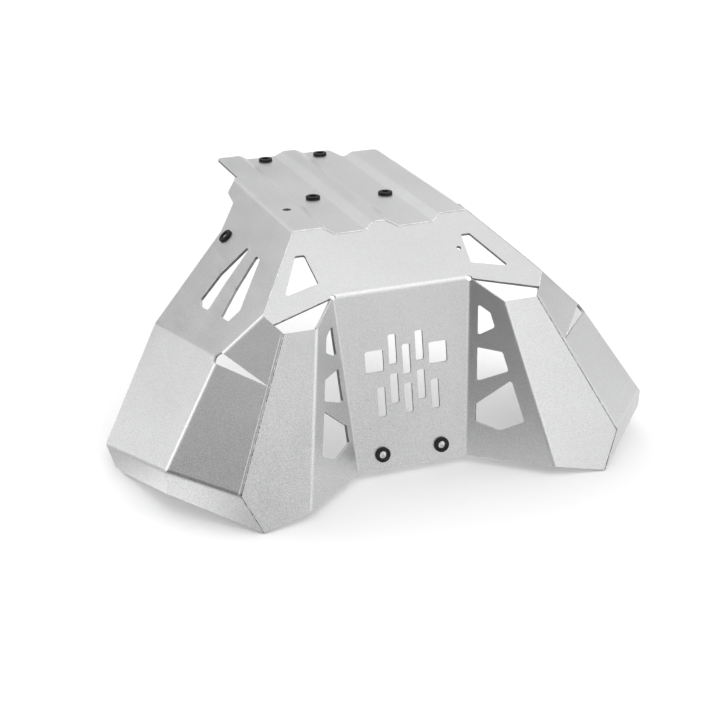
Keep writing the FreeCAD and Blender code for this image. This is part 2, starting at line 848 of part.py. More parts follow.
def belly_waste():
    """Waste around the belly's rear tabs, the right one shorter than the rest."""
    fold_end, rear, rear_right = size("BellyFoldRear"), size("BellyRear"), size("BellyRearRight")
    left = SKELETON[LEFT][0]["belly_rear"].x
    right = SKELETON[RIGHT][0]["belly_rear"].x
    left_tab, right_tab = left + size("TabInsetLeft"), right - size("TabInsetRight")
    notch = CENTRE_X + size("GrooveOuterFoot")
    corner, notch_round = size("TabCornerRadius"), size("TabNotchRadius")
    outline = [
        (left - OVERRUN, fold_end, 0),
        (left_tab, fold_end, notch_round),
        (left_tab, rear, corner),
        (notch - size("TabFlare"), rear, corner),
        (notch, rear_right, corner),
        (right_tab, rear_right, corner),
        (right_tab, fold_end, 0),
        (right + OVERRUN, fold_end, 0),
        (right + OVERRUN, rear + 2 * OVERRUN, 0),
        (left - OVERRUN, rear + 2 * OVERRUN, 0),
    ]
    points = [Vector(x, y, HEIGHT) for x, y, radius in outline]
    face = rounded_face(points, [radius for x, y, radius in outline])
    return push_through(face, UP, size("GrooveDepth"))


def knee_slit(side):
    """Relief at the knee: a round hole whose two tangents run to a point on the seam."""
    corner, plane = SKELETON[side]
    normal = plane["cheek"].normal
    knee = corner["knee"]
    tip = along(corner["seam_top"], corner["seam_foot"], "x", side * size("KneeSlitOut"))
    axis = tip - knee
    radius = size("KneeHoleRadius")
    spread = math.asin(radius / axis.Length)
    leg = math.sqrt(axis.Length ** 2 - radius ** 2)
    directions = [FreeCAD.Rotation(normal, math.degrees(sign * spread)).multVec(unit(axis) * -1)
                  for sign in (1, -1)]
    triangle = Part.makePolygon([tip, tip + directions[0] * leg, tip + directions[1] * leg, tip])
    middle = unit(plane["flank"].normal + plane["skirt"].normal + normal)
    return [push_through(Part.Face(triangle), normal), drill(knee, middle, 2 * radius)]


def nose_hole(side):
    """Relief hole at the end of the fold between nose and centre panel."""
    corner, plane = SKELETON[side]
    middle = unit(plane["nose"].normal + plane["centre"].normal)
    return drill(corner["nose_foot"], middle, 2 * size("NoseHoleRadius"))


# Mount places: point on the outer surface and the direction out of the sheet


def mount_places():
    """Name, point and normal of the eight rubber mounts."""
    groove = HEIGHT - size("GrooveDepth")
    places = []
    for hand, side in (("Left", LEFT), ("Right", RIGHT)):
        for name, back in (("Front" + hand, size("Front" + hand + "Back")),
                           ("Rear" + hand, size("BellyRear") - size("Rear" + hand + "Inset"))):
            out = CENTRE_X + side * size(name + "Out")
            places.append((name, Vector(out, back, groove), UP))
    origin, across_panel, down, normal = centre_frame()
    for name, side in (("CentreLeft", LEFT), ("CentreRight", RIGHT)):
        foot = SKELETON[side][0]["centre_foot"]
        drop = (foot - origin).dot(down) - size("CentreMountRise")
        point = origin + across_panel * (side * size("CentreMountOut"))
        places.append((name, point + down * drop, normal))
    for name, side in (("FlankLeft", LEFT), ("FlankRight", RIGHT)):
        origin, back, down, normal = flank_frame(side)
        point = origin + back * size(name + "Back") + down * size(name + "Out")
        places.append((name, point, normal))
    return places


NODE_NAMES = {
    "FrontLeft": "belly_front_left",
    "FrontRight": "belly_front_right",
    "RearLeft": "belly_rear_left",
    "RearRight": "belly_rear_right",
    "CentreLeft": "centre_left",
    "CentreRight": "centre_right",
    "FlankLeft": "flank_left",
    "FlankRight": "flank_right",
}


def add_feature(label, shape, shift=Vector(0, 0, 0)):
    feature = doc.addObject("Part::Feature", label)
    feature.Label = label
    feature.Shape = shape
    feature.Placement = FreeCAD.Placement(shift, FreeCAD.Rotation())
    return feature


def belly_sheet():
    """The ribbed belly, up to the middle of its folds with the flanks."""
    return joined(belly_panels(), []).cut(belly_waste())


def side_sheet(side):
    """Flank, skirt, cheek, lip and chin of one side, from the middle of the belly fold down."""
    return joined(flank_panels(side), knee_slit(side)).cut(flank_cutters(side))


def shield_sheet():
    """Nose, centre panel and wings, folded from one sheet."""
    cutters = centre_cutters()
    for side, _ in SIDES:
        cutters += inner_cutters(side) + [nose_cutter(side)]
    return joined(shield_panels(), [nose_hole(side) for side, _ in SIDES]).cut(cutters)


def hole_tool(name, diameter, point, normal):
    """Drill for one round hole; its diameter is bound to a size."""
    tool = doc.addObject("Part::Cylinder", name)
    tool.setExpression("Radius", "Sizes.%s / 2" % diameter)
    tool.setExpression("Height", "4 * Sizes.SheetThickness")
    start = point - normal * (2 * THICK)
    tool.Placement = FreeCAD.Placement(start, FreeCAD.Rotation(UP, normal))
    return tool


def drilled_sheet(label, sheet_shape, tools, shift):
    """A folded sheet with its round holes drilled, moved to its place."""
    blank = add_feature(label + "_blank", sheet_shape)
    tool = tools[0]
    if len(tools) > 1:
        tool = doc.addObject("Part::MultiFuse", label + "_drills")
        tool.Shapes = tools
    result = doc.addObject("Part::Cut", label)
    result.Label = label
    result.Base = blank
    result.Tool = tool
    result.Placement = FreeCAD.Placement(shift, FreeCAD.Rotation())
    return result


def turned_body(label, profile, rims, rounding, point, normal):
    """Body turned about its own axis; the profile lists radius and height formulas."""
    body = doc.addObject("PartDesign::Body", label)
    body.Label = label
    sketch = body.newObject("Sketcher::SketchObject", label + "_profile")
    upright = [plane for plane in body.Origin.OriginFeatures if plane.Role == "XZ_Plane"]
    sketch.AttachmentSupport = [(upright[0], "")]
    sketch.MapMode = "FlatFace"
    values = [(sketch.evalExpression(radius), sketch.evalExpression(height))
              for radius, height in profile]
    count = len(profile)
    for index in range(count):
        start, end = values[index], values[(index + 1) % count]
        sketch.addGeometry(Part.LineSegment(Vector(*start, 0), Vector(*end, 0)), False)
    for index in range(count):
        sketch.addConstraint(Sketcher.Constraint("Coincident", index, 2, (index + 1) % count, 1))
        radius, height = profile[index]
        bind_distance(sketch, "DistanceX", index, values[index][0], radius)
        if values[index][1] == 0:
            sketch.addConstraint(Sketcher.Constraint("PointOnObject", index, 1, -1))
        else:
            bind_distance(sketch, "DistanceY", index, values[index][1], height)
    turn = body.newObject("PartDesign::Revolution", label + "_turn")
    turn.Profile = sketch
    turn.ReferenceAxis = (sketch, ["V_Axis"])
    turn.Angle = 360
    sketch.Visibility = False
    doc.recompute()
    names = []
    for number, edge in enumerate(turn.Shape.Edges, start=1):
        if edge.Curve.TypeId != "Part::GeomCircle":
            continue
        radius, height = edge.Curve.Radius, edge.Curve.Center.z
        for rim_radius, rim_height in rims:
            near = abs(radius - sketch.evalExpression(rim_radius)) < NEAR
            if near and abs(height - sketch.evalExpression(rim_height)) < NEAR:
                names.append("Edge%d" % number)
    fillet = body.newObject("PartDesign::Fillet", label + "_rim")
    fillet.Base = (turn, names)
    fillet.setExpression("Radius", rounding)
    body.Placement = FreeCAD.Placement(point, FreeCAD.Rotation(UP, normal))
    return body


def bind_distance(sketch, kind, index, value, formula):
    """Fixes one coordinate of a line's start point to a formula."""
    number = sketch.addConstraint(Sketcher.Constraint(kind, -1, 1, index, 1, value))
    sketch.setExpression("Constraints[%d]" % number, formula)


BORE = "Sizes.SleeveDiameter / 2 + Sizes.FitClearance"
FLANGE = "Sizes.FlangeDiameter / 2"
NECK = "Sizes.MountHole / 2 - Sizes.FitClearance"
FOOT = "0"
SHEET_INSIDE = "Sizes.InnerFlangeHeight"
SHEET_OUTSIDE = "Sizes.InnerFlangeHeight + Sizes.SheetThickness"
CROWN = "Sizes.InnerFlangeHeight + Sizes.SheetThickness + Sizes.FlangeHeight"
SLEEVE_TOP = CROWN + " - Sizes.SleeveRecess"

GROMMET_PROFILE = [
    (BORE, FOOT),
    (FLANGE, FOOT),
    (FLANGE, SHEET_INSIDE),
    (NECK, SHEET_INSIDE),
    (NECK, SHEET_OUTSIDE),
    (FLANGE, SHEET_OUTSIDE),
    (FLANGE, CROWN),
    (BORE, CROWN),
]
SLEEVE_PROFILE = [
    ("Sizes.SleeveBore / 2", FOOT),
    ("Sizes.SleeveDiameter / 2", FOOT),
    ("Sizes.SleeveDiameter / 2", SLEEVE_TOP),
    ("Sizes.SleeveBore / 2", SLEEVE_TOP),
]


def mount(name, point, normal):
    """Rubber grommet seated in the sheet, with the metal sleeve in its bore."""
    foot = point - normal * (THICK + size("InnerFlangeHeight"))
    grommet = turned_body("grommet_" + name, GROMMET_PROFILE, [(FLANGE, FOOT), (FLANGE, CROWN)],
                          "Sizes.FlangeRound", foot, normal)
    sleeve = turned_body("sleeve_" + name, SLEEVE_PROFILE,
                         [("Sizes.SleeveBore / 2", FOOT), ("Sizes.SleeveBore / 2", SLEEVE_TOP)],
                         "Sizes.SleeveRound", foot, normal)
    return [grommet, sleeve]


def inner_point(one, two, three):
    """Corner of the shell's inner faces where three panels meet."""
    return meet(one.shifted(-THICK), two.shifted(-THICK), three.shifted(-THICK))


def inner_end(one, two, outer_end, toward):
    """End of a weld on an inner corner line, short of the seam's end."""
    away = unit(toward - outer_end)
    station = Plane(away, outer_end + away * size("WeldEndClearance"))
    return meet(one.shifted(-THICK), two.shifted(-THICK), station)


def bead(points, sheets):
    """Weld bead along an inner corner line, filling the corner between the sheets."""
    radius = size("WeldRadius")
    parts = []
    for start, end in zip(points, points[1:]):
        parts.append(Part.makeCylinder(radius, (end - start).Length, start, end - start))
    for point in points:
        parts.append(Part.makeSphere(radius, point))
    whole = parts[0].fuse(parts[1:]).removeSplitter()
    return whole.cut(sheets)


def weld_paths():
    """Name and inner corner line of every weld between the sheets."""
    stations = groove_lines()
    right = SKELETON[RIGHT][1]
    facets = [right["belly"]] + facet_planes(stations) + [right["belly"]]
    nose = right["nose"]
    first, last = SKELETON[LEFT][0]["belly_front"], SKELETON[RIGHT][0]["belly_front"]
    top = [inner_end(nose, facets[0], first, belly_nose_point(stations[0]))]
    top += [inner_point(nose, one, two) for one, two in zip(facets, facets[1:])]
    top.append(inner_end(nose, facets[-1], last, belly_nose_point(stations[-1])))
    paths = [("weld_nose_top", top)]
    for side, name in SIDES:
        corner, plane = SKELETON[side]
        slit = along(corner["seam_top"], corner["seam_foot"], "x", side * size("KneeSlitOut"))
        paths.append(("weld_nose_" + name, [
            inner_end(plane["nose"], plane["flank"], corner["belly_front"], corner["shoulder"]),
            inner_point(plane["nose"], plane["flank"], plane["cheek"]),
            inner_end(plane["nose"], plane["cheek"], corner["gill_top"], corner["shoulder"]),
        ]))
        paths.append(("weld_gill_" + name, [
            inner_end(plane["wing"], plane["cheek"], corner["seam_top"], slit),
            inner_end(plane["wing"], plane["cheek"], slit, corner["seam_top"]),
        ]))
        paths.append(("weld_wing_" + name, [
            inner_end(plane["wing"], plane["cheek"], slit, corner["seam_foot"]),
            inner_point(plane["wing"], plane["cheek"], plane["chin"]),
            inner_end(plane["wing"], plane["chin"], corner["wing_tip"], corner["seam_foot"]),
        ]))
        bend_end = corner["hip"] + unit(corner["lip_front"] - corner["hip"]) * (BEND + THICK)
        paths.append(("weld_lip_" + name, [
            inner_end(plane["lip"], plane["chin"], bend_end, corner["lip_front"]),
            inner_end(plane["lip"], plane["chin"], corner["lip_front"], corner["hip"]),
        ]))
    return paths


def footprint_shift(shapes):
    """Move that brings the middle of the outline over the origin and its foot to the floor."""
    box = FreeCAD.BoundBox()
    for shape in shapes:
        box.add(shape.optimalBoundingBox(False, False))
    return Vector(-box.Center.x, -box.Center.y, -box.ZMin)


sheets = {
    "belly_panel": belly_sheet(),
    "side_left": side_sheet(LEFT),
    "side_right": side_sheet(RIGHT),
    "front_shield": shield_sheet(),
}
shift = footprint_shift(sheets.values())

SHEET_OF_MOUNT = {
    "CentreLeft": "front_shield",
    "CentreRight": "front_shield",
    "FlankLeft": "side_left",
    "FlankRight": "side_right",
}
drills = {label: [] for label in sheets}
nodes = []
for place, point, normal in mount_places():
    label = SHEET_OF_MOUNT.get(place, "belly_panel")
    drills[label].append(hole_tool(place + "Hole", "MountHole", point, normal))
    nodes += mount(NODE_NAMES[place], point + shift, normal)

spare_point = Vector(CENTRE_X - size("SpareHoleOut"), size("SpareHoleBack"), HEIGHT)
drills["belly_panel"].append(hole_tool("BellySpareHole", "SpareHole", spare_point, UP))
nose_origin, nose_across, nose_down, nose_normal = nose_frame()
cable_point = nose_origin + nose_across * size("CableHoleOut") + nose_down * size("CableHoleDown")
drills["front_shield"].append(hole_tool("NoseCableHole", "CableHole", cable_point, nose_normal))

for label, shape in sheets.items():
    nodes.append(drilled_sheet(label, shape, drills[label], shift))
for name, path in weld_paths():
    nodes.append(add_feature(name, bead(path, list(sheets.values())), shift))

doc.recompute()
for item in doc.Objects:
    if "Invalid" in item.State or "Error" in item.State:
        raise RuntimeError("%s failed: %s" % (item.Label, item.State))
for node in nodes:
    if node.Shape.isNull() or not node.Shape.isValid() or len(node.Shape.Solids) != 1:
        raise RuntimeError("%s is not one sound solid" % node.Label)

os.makedirs("parts", exist_ok=True)
for node in nodes:
    node.Shape.exportStep(os.path.join("parts", node.Label + ".step"))
print("%d parts written" % len(nodes))
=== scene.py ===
import math
import random

import bmesh
import bpy
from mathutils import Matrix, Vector
from mathutils.bvhtree import BVHTree


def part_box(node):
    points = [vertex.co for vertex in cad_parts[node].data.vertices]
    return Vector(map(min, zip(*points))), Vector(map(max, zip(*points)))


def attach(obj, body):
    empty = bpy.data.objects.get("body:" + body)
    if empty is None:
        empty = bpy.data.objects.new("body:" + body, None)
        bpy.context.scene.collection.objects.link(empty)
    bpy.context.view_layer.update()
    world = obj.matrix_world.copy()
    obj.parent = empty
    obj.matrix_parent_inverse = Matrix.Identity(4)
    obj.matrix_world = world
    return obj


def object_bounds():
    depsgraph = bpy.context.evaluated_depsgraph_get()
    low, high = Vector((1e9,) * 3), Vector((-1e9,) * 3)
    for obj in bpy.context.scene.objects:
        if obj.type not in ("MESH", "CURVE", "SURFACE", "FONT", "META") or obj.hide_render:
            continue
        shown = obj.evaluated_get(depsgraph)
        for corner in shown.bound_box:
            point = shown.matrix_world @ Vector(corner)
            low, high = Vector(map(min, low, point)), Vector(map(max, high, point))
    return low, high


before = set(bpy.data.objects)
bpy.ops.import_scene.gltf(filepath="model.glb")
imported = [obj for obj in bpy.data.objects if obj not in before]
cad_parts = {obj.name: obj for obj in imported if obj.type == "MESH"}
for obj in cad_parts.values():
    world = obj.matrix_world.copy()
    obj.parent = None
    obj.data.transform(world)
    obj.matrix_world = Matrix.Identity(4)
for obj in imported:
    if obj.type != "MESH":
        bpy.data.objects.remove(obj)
cad_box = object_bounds()
scene = bpy.context.scene


# Node trees

NOISE_RANGE = (0.3, 0.7)
PATCH_RANGE = (0.35, 0.7)
MIX_AMOUNT, MIX_FIRST, MIX_SECOND, MIX_RESULT = 0, 6, 7, 2


class Tree:
    """Short names for building a node tree."""

    def __init__(self, tree):
        self.tree = tree
        tree.nodes.clear()

    def node(self, kind, **settings):
        made = self.tree.nodes.new(kind)
        for name, value in settings.items():
            setattr(made, name, value)
        return made

    def link(self, value, socket):
        """Feeds a socket from another one, or sets its value."""
        if isinstance(value, bpy.types.NodeSocket):
            self.tree.links.new(value, socket)
        else:
            socket.default_value = value

    def surface(self, shader, kind="ShaderNodeOutputMaterial"):
        self.link(shader.outputs[0], self.node(kind).inputs["Surface"])

    def coordinates(self, name):
        return self.node("ShaderNodeTexCoord").outputs[name]

    def place(self, stretch=(1, 1, 1)):
        """Coordinates on the object, in metres times stretch."""
        mapping = self.node("ShaderNodeMapping")
        mapping.inputs["Scale"].default_value = stretch
        self.link(self.coordinates("Object"), mapping.inputs["Vector"])
        return mapping.outputs["Vector"]

    def axes(self, vector):
        """The vector's X, Y and Z."""
        made = self.node("ShaderNodeSeparateXYZ")
        self.link(vector, made.inputs[0])
        return made.outputs

    def math(self, operation, first, second=0.0):
        made = self.node("ShaderNodeMath", operation=operation)
        self.link(first, made.inputs[0])
        self.link(second, made.inputs[1])
        return made.outputs[0]

    def vector(self, operation, first, second=None):
        """A vector operation: its vector, or the number that it measures."""
        made = self.node("ShaderNodeVectorMath", operation=operation)
        self.link(first, made.inputs[0])
        if second is not None:
            self.link(second, made.inputs[1])
        return made.outputs["Vector" if operation == "NORMALIZE" else "Value"]

    def span(self, value, low, high, to_low=0.0, to_high=1.0, smooth=False):
        """value, stretched from low..high to to_low..to_high."""
        made = self.node("ShaderNodeMapRange")
        if smooth:
            made.interpolation_type = "SMOOTHSTEP"
        for name, number in (
            ("Value", value),
            ("From Min", low),
            ("From Max", high),
            ("To Min", to_low),
            ("To Max", to_high),
        ):
            self.link(number, made.inputs[name])
        return made.outputs["Result"]

    def vary(self, noise, low, high):
        """Noise, stretched from its usual range to low..high."""
        return self.span(noise, *NOISE_RANGE, low, high)

    def noise(self, place, scale, detail, roughness):
        made = self.node("ShaderNodeTexNoise")
        self.link(place, made.inputs["Vector"])
        self.link(scale, made.inputs["Scale"])
        self.link(detail, made.inputs["Detail"])
        self.link(roughness, made.inputs["Roughness"])
        return made.outputs["Fac"]

    def mix_colour(self, amount, first, second):
        made = self.node("ShaderNodeMix", data_type="RGBA")
        self.link(amount, made.inputs[MIX_AMOUNT])
        self.link(first, made.inputs[MIX_FIRST])
        self.link(second, made.inputs[MIX_SECOND])
        return made.outputs[MIX_RESULT]

    def patches(self, noise, low, high, tones):
        """Colour that goes from the first grey to the second as the noise goes from low to high."""
        first, second = tones
        return self.mix_colour(self.span(noise, low, high), grey(first), grey(second))

    def bump(self, height, distance, strength, under=None):
        made = self.node("ShaderNodeBump")
        self.link(distance, made.inputs["Distance"])
        self.link(strength, made.inputs["Strength"])
        self.link(height, made.inputs["Height"])
        if under is not None:
            self.link(under, made.inputs["Normal"])
        return made.outputs["Normal"]


def grey(value):
    return (value, value, value, 1.0)


# Materials

SHEET_TONE = 0.64
SHEET_TINT = (1.0, 1.002, 1.008)
SHEET_ROUGHNESS = (0.31, 0.35)
RUB_STRETCH = (60.0, 8.0, 22.0)


def material(name):
    """A new material, its tree, and the inputs of its shader."""
    made = bpy.data.materials.new(name)
    made.use_nodes = True
    tree = Tree(made.node_tree)
    shader = tree.node("ShaderNodeBsdfPrincipled")
    tree.surface(shader)
    return made, tree, shader.inputs


def set_look(tree, inputs, colour, metallic, roughness, normal):
    tree.link(colour, inputs["Base Color"])
    tree.link(metallic, inputs["Metallic"])
    tree.link(roughness, inputs["Roughness"])
    tree.link(normal, inputs["Normal"])


def blasted_sheet():
    """Bead-blasted aluminium: fine bright grain, faint handling marks and cloudy patches.

    The grain shows less towards the belly and towards the right.
    """
    made, tree, inputs = material("blasted_sheet")
    place = tree.place()
    grain = tree.noise(place, scale=1900.0, detail=1.0, roughness=0.5)
    fleck = tree.noise(place, scale=1000.0, detail=1.0, roughness=0.5)
    cloud = tree.noise(place, scale=9.0, detail=4.0, roughness=0.55)
    rub = tree.noise(tree.place(RUB_STRETCH), scale=2.2, detail=3.0, roughness=0.6)
    x, _, z = tree.axes(place)
    speckle = tree.math("ADD", tree.vary(grain, -0.12, 0.12), tree.vary(fleck, -0.07, 0.07))
    upwards = tree.span(z, 0.05, 0.24, to_low=1.25, to_high=0.55)
    rightwards = tree.span(x, -0.25, 0.25, to_low=1.15, to_high=0.6)
    peened = tree.math("MULTIPLY", speckle, tree.math("MULTIPLY", upwards, rightwards))
    tone = tree.math("ADD", tree.math("ADD", peened, tree.vary(cloud, -0.02, 0.02)), SHEET_TONE)
    colour = tree.node("ShaderNodeCombineColor")
    for channel, gain in zip(colour.inputs, SHEET_TINT):
        tree.link(tree.math("MULTIPLY", tone, gain), channel)
    handled = tree.span(rub, 0.35, 0.65, to_low=-0.02, to_high=0.02)
    roughness = tree.math("ADD", tree.vary(cloud, *SHEET_ROUGHNESS), handled)
    fine = tree.bump(grain, distance=0.00014, strength=0.6)
    coarse = tree.bump(fleck, distance=0.0002, strength=0.4, under=fine)
    set_look(tree, inputs, colour.outputs[0], 1.0, roughness, coarse)
    return made


def black_rubber():
    """Moulded rubber: matt black with a dusty bloom and a soft shine."""
    made, tree, inputs = material("black_rubber")
    place = tree.place()
    grain = tree.noise(place, scale=1900.0, detail=2.0, roughness=0.6)
    bloom = tree.noise(place, scale=160.0, detail=3.0, roughness=0.6)
    colour = tree.patches(bloom, 0.4, 0.75, tones=(0.01, 0.03))
    relief = tree.bump(grain, distance=0.0001, strength=0.5)
    set_look(tree, inputs, colour, 0.0, tree.vary(bloom, 0.42, 0.6), relief)
    tree.link(0.14, inputs["Specular IOR Level"])
    return made


def turned_steel():
    """Turned bush: fine turning marks and a slight stain."""
    made, tree, inputs = material("turned_steel")
    place = tree.place()
    ring = tree.noise(place, scale=2600.0, detail=2.0, roughness=0.5)
    stain = tree.noise(place, scale=240.0, detail=3.0, roughness=0.6)
    colour = tree.patches(stain, *PATCH_RANGE, tones=(0.78, 0.6))
    relief = tree.bump(ring, distance=0.0001, strength=0.4)
    set_look(tree, inputs, colour, 0.8, tree.vary(ring, 0.22, 0.38), relief)
    return made


def weld_metal():
    """Weld bead: scaly ripples, with soot on them."""
    made, tree, inputs = material("weld_metal")
    place = tree.place()
    scales = tree.node("ShaderNodeTexVoronoi")
    tree.link(place, scales.inputs["Vector"])
    tree.link(420.0, scales.inputs["Scale"])
    soot = tree.noise(place, scale=120.0, detail=3.0, roughness=0.6)
    colour = tree.patches(soot, 0.4, 0.7, tones=(0.7, 0.4))
    relief = tree.bump(scales.outputs["Distance"], distance=0.0012, strength=0.8)
    set_look(tree, inputs, colour, 1.0, tree.vary(soot, 0.3, 0.5), relief)
    return made


def worn_edge_and_highlight():
    """Rubbed rim: bare metal with a painted highlight, brighter than the blasted faces, in uneven dashes.
    """
    made, tree, inputs = material("worn_edge_and_highlight")
    place = tree.place()
    rub = tree.noise(place, scale=210.0, detail=3.0, roughness=0.65)
    grain = tree.noise(place, scale=1500.0, detail=2.0, roughness=0.6)
    colour = tree.patches(rub, 0.35, 0.65, tones=(0.62, 0.93))
    relief = tree.bump(grain, distance=0.0001, strength=0.5)
    set_look(tree, inputs, colour, 1.0, tree.vary(grain, 0.3, 0.5), relief)
    return made


def seam_shadow():
    """Painted shade in the unfilled joint between two sheets: dark, rough metal with grit in it."""
    made, tree, inputs = material("seam_shadow")
    grit = tree.noise(tree.place(), scale=900.0, detail=3.0, roughness=0.65)
    colour = tree.patches(grit, *PATCH_RANGE, tones=(0.05, 0.22))
    relief = tree.bump(grit, distance=0.0003, strength=0.8)
    set_look(tree, inputs, colour, 0.6, tree.vary(grit, 0.6, 0.8), relief)
    return made


def cut_metal():
    """Laser-cut wall: rougher than the faces, with stain patches and painted shade: dark where it faces
    down, light grey where it faces up.
    """
    made, tree, inputs = material("cut_metal")
    place = tree.place()
    score = tree.noise(place, scale=1300.0, detail=2.0, roughness=0.6)
    stain = tree.noise(place, scale=170.0, detail=3.0, roughness=0.6)
    stained_and_shaded = tree.patches(stain, *PATCH_RANGE, tones=(0.13, 0.24))
    lit_facing_up = tree.axes(tree.coordinates("Normal"))["Z"]
    # Painted shade: the wall is stained dark where it faces down and turns light grey where it faces up,
    # as light falls from above.
    colour = tree.mix_colour(tree.span(lit_facing_up, 0.15, 0.6, smooth=True), stained_and_shaded, grey(0.62))
    relief = tree.bump(score, distance=0.0002, strength=0.7)
    set_look(tree, inputs, colour, 0.4, tree.vary(score, 0.45, 0.65), relief)
    tree.link(0.25, inputs["Specular IOR Level"])
    return made


def white_paper():
    """Plain ground, without any shine."""
    made, tree, inputs = material("paper")
    tint = tree.noise(tree.place(), scale=3.0, detail=2.0, roughness=0.5)
    tree.link(tree.mix_colour(tint, grey(0.98), grey(0.99)), inputs["Base Color"])
    tree.link(0.9, inputs["Roughness"])
    tree.link(0.0, inputs["Specular IOR Level"])
    return made


sheet = blasted_sheet()
rubber = black_rubber()
steel = turned_steel()
weld = weld_metal()
wear_and_highlight = worn_edge_and_highlight()
dark_gap = seam_shadow()
cut = cut_metal()
for name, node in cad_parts.items():
    look = sheet
    for start, kind in (("grommet_", rubber), ("sleeve_", steel), ("weld_", weld)):
        if name.startswith(start):
            look = kind
    for slot in node.material_slots:
        slot.material = look


# Seams, rims and cut walls

SHEETS = ("belly_panel", "side_left", "side_right", "front_shield")
SHEET_THICK = 0.003
INSIDE = Vector((0, 0.05, 0.1))

# The way the nose and the two front wings face
NOSE = Vector((0, -0.505, 0.863))
WING_LEFT = Vector((0.13, -0.94, 0.33)).normalized()
WING_RIGHT = Vector((-0.13, -0.94, 0.33)).normalized()

# A seam runs where the shield's rim comes this close to the other sheet, in metres. Angles are in radians.
SEAM_REACH = 0.0009
SEAM_ANGLE = 0.35
SEAM_FACING = 0.97
SEAM_SHORTEST = 0.002
SEAM_ASIDE = 0.004

# The light line beside a wing's seam, worn metal with a painted highlight, starts above the chin
LIP_ASIDE = 0.0027
CHIN_TOP = 0.039

BEAD_SIDES = 6
BEAD_END = 0.4
BEAD_SWAY = 0.4

RIM_ANGLE = 1.0
RIM_SHORTEST = 0.0008

# Faces of a cut wall are hardly wider than the sheet is thick, and have more metal than that behind them
SKIN_THICK = 0.00005
WALL_WIDEST = 1.1
WALL_BEHIND = 1.5
JUST_INSIDE = 1e-5


def closed_mesh(name):
    """The node's mesh with its split corners joined."""
    made = bmesh.new()
    made.from_mesh(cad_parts[name].data)
    bmesh.ops.remove_doubles(made, verts=made.verts, dist=1e-6)
    return made


meshes = {name: closed_mesh(name) for name in SHEETS}
surfaces = {name: BVHTree.FromBMesh(made) for name, made in meshes.items()}


def ends(edge):
    return [corner.co.copy() for corner in edge.verts]


def is_bend(edge, angle):
    return len(edge.link_faces) == 2 and edge.calc_face_angle(0) >= angle


def seam_runs(other, facing):
    """Straight runs of the shield's outer rim along another sheet.

    Each is its start, its end, the way out and the way from the shield to the other sheet.
    """
    runs = []
    for edge in meshes["front_shield"].edges:
        if not is_bend(edge, SEAM_ANGLE):
            continue
        faces = [face for face in edge.link_faces if face.normal.dot(facing) > SEAM_FACING]
        start, end = ends(edge)
        near = [surfaces[other].find_nearest(point)[3] for point in (start, end)]
        if not faces or max(near) > SEAM_REACH or (end - start).length < SEAM_SHORTEST:
            continue
        middle = (start + end) / 2
        along = (end - start).normalized()
        across = along.cross(facing).normalized()
        if across.dot(faces[0].calc_center_median() - middle) > 0:
            across = -across
        spot, normal, _, _ = surfaces[other].find_nearest(middle + across * SEAM_ASIDE)
        away = spot - middle
        away -= along * away.dot(along)
        runs.append((start, end, (facing + normal).normalized(), away.normalized()))
    return runs


def rim_lines(name):
    """Edges where an outer face of the sheet meets its cut wall: start, end and outward."""
    lines = []
    for edge in meshes[name].edges:
        if not is_bend(edge, RIM_ANGLE) or edge.calc_length() < RIM_SHORTEST:
            continue
        start, end = ends(edge)
        outward = sum((face.normal for face in edge.link_faces), Vector()).normalized()
        wide = max(edge.link_faces, key=lambda face: face.calc_area())
        if wide.normal.dot((start + end) / 2 - INSIDE) > 0:
            lines.append((start, end, outward))
    return lines


def new_object(name, mesh):
    made = bpy.data.objects.new(name, mesh)
    scene.collection.objects.link(made)
    return made


def piece(name, mesh, look, smooth):
    """A piece of one material that rides on the body."""
    count = len(mesh.polygons)
    mesh.materials.clear()
    mesh.materials.append(look)
    mesh.polygons.foreach_set("material_index", [0] * count)
    mesh.polygons.foreach_set("use_smooth", [smooth] * count)
    made = new_object(name, mesh)
    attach(made, "root")
    return made


def bead_row(name, lines, look, radius, uneven, step, height, seed):
    """Uneven beads along straight lines, each given by its start, its end and the way out."""
    chance = random.Random(seed)
    points, faces = [], []
    for start, end, outward, *_ in lines:
        along = (end - start).normalized()
        side = along.cross(outward).normalized()
        rings = max(2, int((end - start).length / step) + 1)
        first = len(points)
        for ring in range(rings):
            size = radius * (1 + uneven * chance.uniform(-1, 1))
            if ring in (0, rings - 1):
                size *= BEAD_END
            sway = side * radius * uneven * BEAD_SWAY * chance.uniform(-1, 1)
            middle = start.lerp(end, ring / (rings - 1)) + sway
            for turn in range(BEAD_SIDES):
                angle = 2 * math.pi * turn / BEAD_SIDES
                sideways = side * size * math.cos(angle)
                points.append(middle + sideways + outward * size * height * math.sin(angle))
        for ring in range(first, len(points) - BEAD_SIDES, BEAD_SIDES):
            for turn in range(BEAD_SIDES):
                a, b = ring + turn, ring + (turn + 1) % BEAD_SIDES
                faces.append((a, b, b + BEAD_SIDES, a + BEAD_SIDES))
        faces.append(tuple(range(first, first + BEAD_SIDES))[::-1])
        faces.append(tuple(range(len(points) - BEAD_SIDES, len(points))))
    mesh = bpy.data.meshes.new(name)
    mesh.from_pydata(points, [], faces)
    return piece(name, mesh, look, smooth=True)


def is_wall(face, surface):
    """Whether the face belongs to a cut wall of its sheet."""
    longest = max(edge.calc_length() for edge in face.edges)
    if 2 * face.calc_area() >= longest * SHEET_THICK * WALL_WIDEST:
        return False
    below = face.calc_center_median() - face.normal * JUST_INSIDE
    spot, _, _, depth = surface.ray_cast(below, -face.normal)
    return spot is None or depth >= SHEET_THICK * WALL_BEHIND


